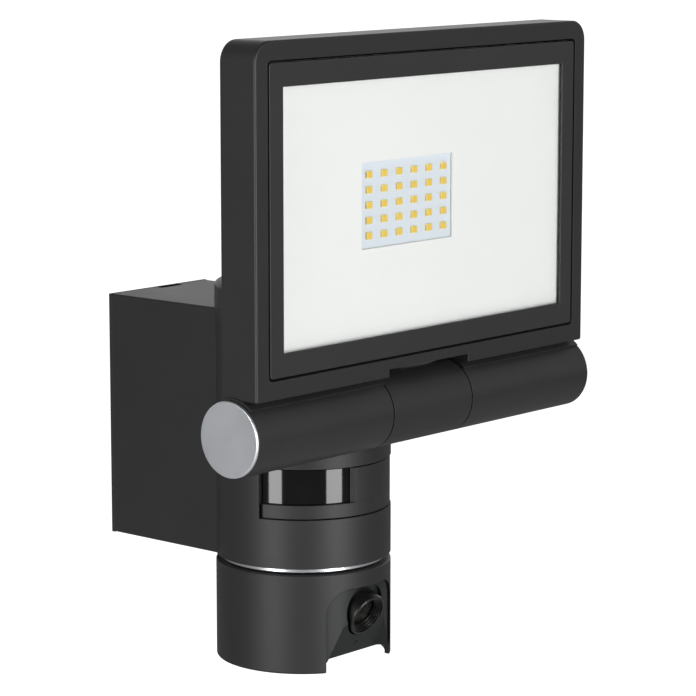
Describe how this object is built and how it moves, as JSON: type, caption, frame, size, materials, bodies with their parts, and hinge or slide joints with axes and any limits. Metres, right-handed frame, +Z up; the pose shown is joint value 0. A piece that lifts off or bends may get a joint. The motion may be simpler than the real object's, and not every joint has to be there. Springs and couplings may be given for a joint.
{
  "type": "floodlight security camera",
  "caption": "Wall-mounted floodlight with a tilting rectangular LED lamp on a round column, a wrap-round motion sensor window and a turning camera head below.",
  "frame": {"origin": "on the wall, at the centre of the wall box's back face", "axes": "+Z up, -Y out of the wall towards the front of the lamp, +X to the right when seen from the front"},
  "size_m": [0.2042, 0.1525, 0.2591],
  "materials": {
    "body_grey": "satin",
    "lamp_grey": "satin",
    "bright_metal": "polished",
    "clear_glass": "gloss",
    "reflector_white": "satin",
    "board_white": "matte",
    "led_phosphor": "satin",
    "lens_black": "gloss",
    "insert_black": "gloss",
    "optic_glass": "gloss",
    "zinc_steel": "satin",
    "black_rubber": "matte",
    "washer_nylon": "matte",
    "board_green": "satin",
    "part_black": "matte",
    "can_metal": "satin",
    "spreader_metal": "satin"
  },
  "bodies": {
    "wall_unit": {"wall_plate": "zinc_steel", "wall_seal": "black_rubber", "cable_grommet": "black_rubber", "main_housing": "body_grey", "housing_screws": "zinc_steel", "driver_board": "board_green", "transformer": "part_black", "capacitors": "can_metal", "terminal_block": "part_black", "terminal_screws": "zinc_steel", "sensor_frame": "body_grey", "pir_lens": "lens_black", "lens_shroud": "body_grey", "pir_boards": "board_green", "pyro_sensors": "can_metal", "trim_ring": "bright_metal", "pan_washer": "washer_nylon", "swivel_washer": "washer_nylon"},
    "swivel": {"turret": "body_grey", "swivel_retainer": "zinc_steel", "tilt_washers": "washer_nylon"},
    "lamp": {"lamp_housing": "lamp_grey", "barrel_left": "lamp_grey", "barrel_right": "lamp_grey", "end_cap_left": "bright_metal", "end_cap_right": "bright_metal", "tilt_axle": "zinc_steel", "axle_nuts": "zinc_steel", "bezel": "body_grey", "front_glass": "clear_glass", "glass_seal": "black_rubber", "reflector": "reflector_white", "led_board": "board_white", "leds": "led_phosphor", "heat_spreader": "spreader_metal", "lamp_screws": "zinc_steel", "vent_plug": "black_rubber"},
    "camera_head": {"camera_shell": "body_grey", "camera_insert": "insert_black", "lens_hood": "insert_black", "lens_glass": "optic_glass", "lens_barrel": "part_black", "camera_board": "board_green", "image_sensor": "lens_black", "bottom_cover": "body_grey", "cover_screws": "zinc_steel", "speaker": "part_black", "microphone": "can_metal", "radio_board": "board_green", "pan_retainer": "zinc_steel", "button_switch": "part_black"},
    "button": {"reset_button": "part_black"}
  },
  "joints": [
    {"name": "lamp_swivel", "type": "hinge", "parent": "wall_unit", "child": "swivel", "pos_m": [0, -0.0832, 0], "axis": [0, 0, 1], "range_deg": [-40, 40]},
    {"name": "lamp_tilt", "type": "hinge", "parent": "swivel", "child": "lamp", "pos_m": [0, -0.1377, 0.0172], "axis": [1, 0, 0], "range_deg": [-8, 90]},
    {"name": "camera_pan", "type": "hinge", "parent": "wall_unit", "child": "camera_head", "pos_m": [0, -0.0832, 0], "axis": [0, 0, 1], "range_deg": [-50, 50]},
    {"name": "button_press", "type": "slide", "parent": "camera_head", "child": "button", "axis": [0, 0, 1], "range_m": [0, 0.0005], "stiffness_N_per_m": 600}
  ]
}
